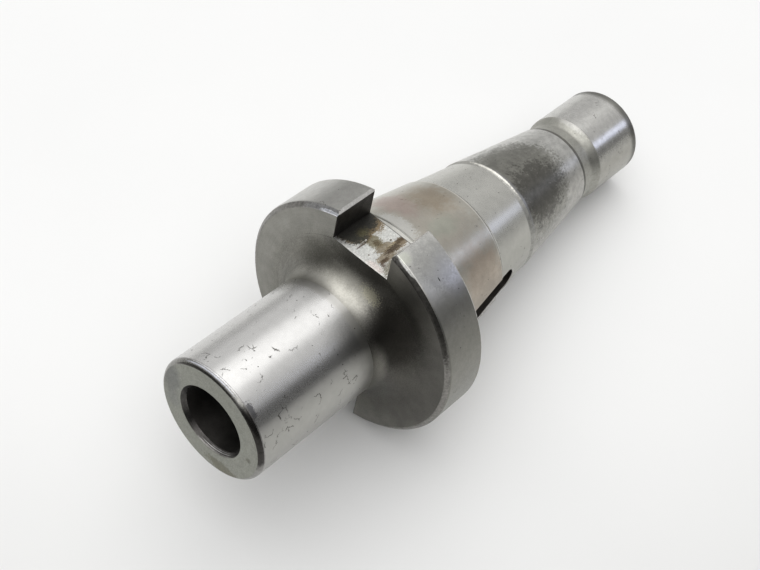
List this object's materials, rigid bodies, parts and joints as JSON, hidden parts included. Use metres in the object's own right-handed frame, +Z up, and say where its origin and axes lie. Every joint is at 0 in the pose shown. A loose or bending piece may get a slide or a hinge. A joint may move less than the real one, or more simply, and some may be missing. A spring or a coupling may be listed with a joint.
{
  "type": "morse taper tool holder",
  "caption": "Steel holder with a steep taper shank, a flange with two drive slots and a nose whose tapered socket takes a drill or reamer, freed through a drift slot.",
  "frame": {"origin": "centre of the bottom of the bounding box of the holder as it lies at rest", "axes": "+Z up; the holder's axis lies in the XZ plane and runs from the nose at -X to the drawbar end at +X, dropping by 10.77 degrees, because the holder rests on the corners of its lower drive slot and on the rim of its pilot"},
  "size_m": [0.1546, 0.0634, 0.0621],
  "materials": {
    "ground_steel": "hardened, turned and ground, with worn and stained patches"
  },
  "bodies": {
    "root": {"holder_body": "ground_steel"}
  },
  "joints": []
}
